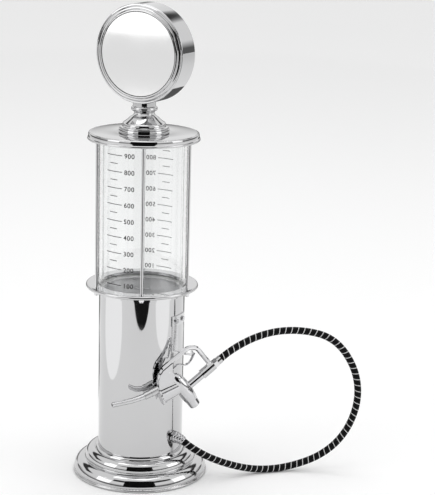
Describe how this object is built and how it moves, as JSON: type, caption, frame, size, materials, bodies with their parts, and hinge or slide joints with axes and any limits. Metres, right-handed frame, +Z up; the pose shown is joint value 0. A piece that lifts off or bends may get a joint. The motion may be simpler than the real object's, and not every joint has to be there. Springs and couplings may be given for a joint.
{
  "type": "tabletop drinks dispenser",
  "caption": "Tabletop drinks dispenser in the form of a visible-measure gas pump: round column, clear graduated cylinder, round mirror finial, hose and trigger nozzle.",
  "frame": {"origin": "centre of the underside of the foot pad, on the table", "axes": "+Z up along the column's axis; the finial's face and the scale look along -Y; the nozzle and hose are on the +X side"},
  "size_m": [0.2749, 0.1957, 0.4954],
  "materials": {
    "chrome": "polished",
    "cast_chrome": "plated casting, slightly soft polish",
    "boot_chrome": "ribbed and plated",
    "mirror": "silvered glass",
    "clear": "clear with black printed scale",
    "steel": "satin",
    "floor_steel": "satin with a bright rim",
    "weight": "as cast",
    "black_rubber": "matte",
    "hose_rubber": "satin black with a thin pale helix",
    "silicone": "satin, milky",
    "plug_plastic": "matte"
  },
  "bodies": {
    "dispenser": {"foot_pad": "black_rubber", "base_plate": "steel", "base_weight": "weight", "base_shell": "chrome", "base_screws": "steel", "neck_ring": "chrome", "body_foot_plate": "steel", "body_tube": "chrome", "collar": "chrome", "floor_gasket": "silicone", "canister_floor": "floor_steel", "wall_gasket": "silicone", "drain_spigot": "floor_steel", "drain_nut": "steel", "feed_tube": "silicone", "outlet_fitting": "chrome", "outlet_gasket": "black_rubber", "outlet_nut": "steel", "hose_boot": "boot_chrome", "hose": "hose_rubber", "canister": "clear", "cap_gasket": "silicone", "cap_liner": "steel", "cap": "chrome", "tie_rods": "chrome", "rod_nuts": "steel", "rod_feet": "chrome", "bracket": "steel", "bracket_screws": "steel", "bracket_nuts": "steel"},
    "finial": {"fill_plug": "plug_plastic", "plug_ring": "silicone", "finial_pedestal": "chrome", "finial_stud": "steel", "disc_core": "plug_plastic", "disc_front_shell": "chrome", "disc_back_shell": "chrome", "bezel_front": "chrome", "bezel_back": "chrome", "mirror_seals": "black_rubber", "mirror_front": "mirror", "mirror_back": "mirror"},
    "nozzle": {"nozzle_body": "cast_chrome", "nozzle_nose_flange": "cast_chrome", "spout": "steel", "spout_ferrules": "chrome", "nozzle_guard": "cast_chrome", "grip_band": "chrome", "hose_nut": "chrome", "hose_ferrule": "chrome", "valve_seat": "plug_plastic", "valve_cap": "cast_chrome", "valve_spring": "steel", "trigger_pin": "steel"},
    "valve": {"valve_stem": "steel", "valve_seal": "black_rubber"},
    "trigger": {"trigger": "cast_chrome"}
  },
  "joints": [
    {"name": "finial_lift", "type": "slide", "parent": "dispenser", "child": "finial", "axis": [0, 0, 1], "range_m": [0, 0.02]},
    {"name": "nozzle_lift", "type": "slide", "parent": "dispenser", "child": "nozzle", "axis": [0, 0, 1], "range_m": [0, 0.006], "deforming": ["hose"]},
    {"name": "trigger_squeeze", "type": "hinge", "parent": "nozzle", "child": "trigger", "pos_m": [0.04802, -0.02613, 0.124], "axis": [-0.7934, 0.6088, 0], "range_deg": [0, 22], "stiffness_Nm_per_rad": 0.15, "springref_deg": -5.73},
    {"name": "valve_slide", "type": "slide", "parent": "nozzle", "child": "valve", "axis": [0.3448, 0.4494, -0.8241], "range_m": [0, 0.001], "deforming": ["valve_spring"]}
  ],
  "couplings": [
    {"joint": "valve_slide", "follows": "trigger_squeeze", "m_per_rad": 0.0025}
  ]
}
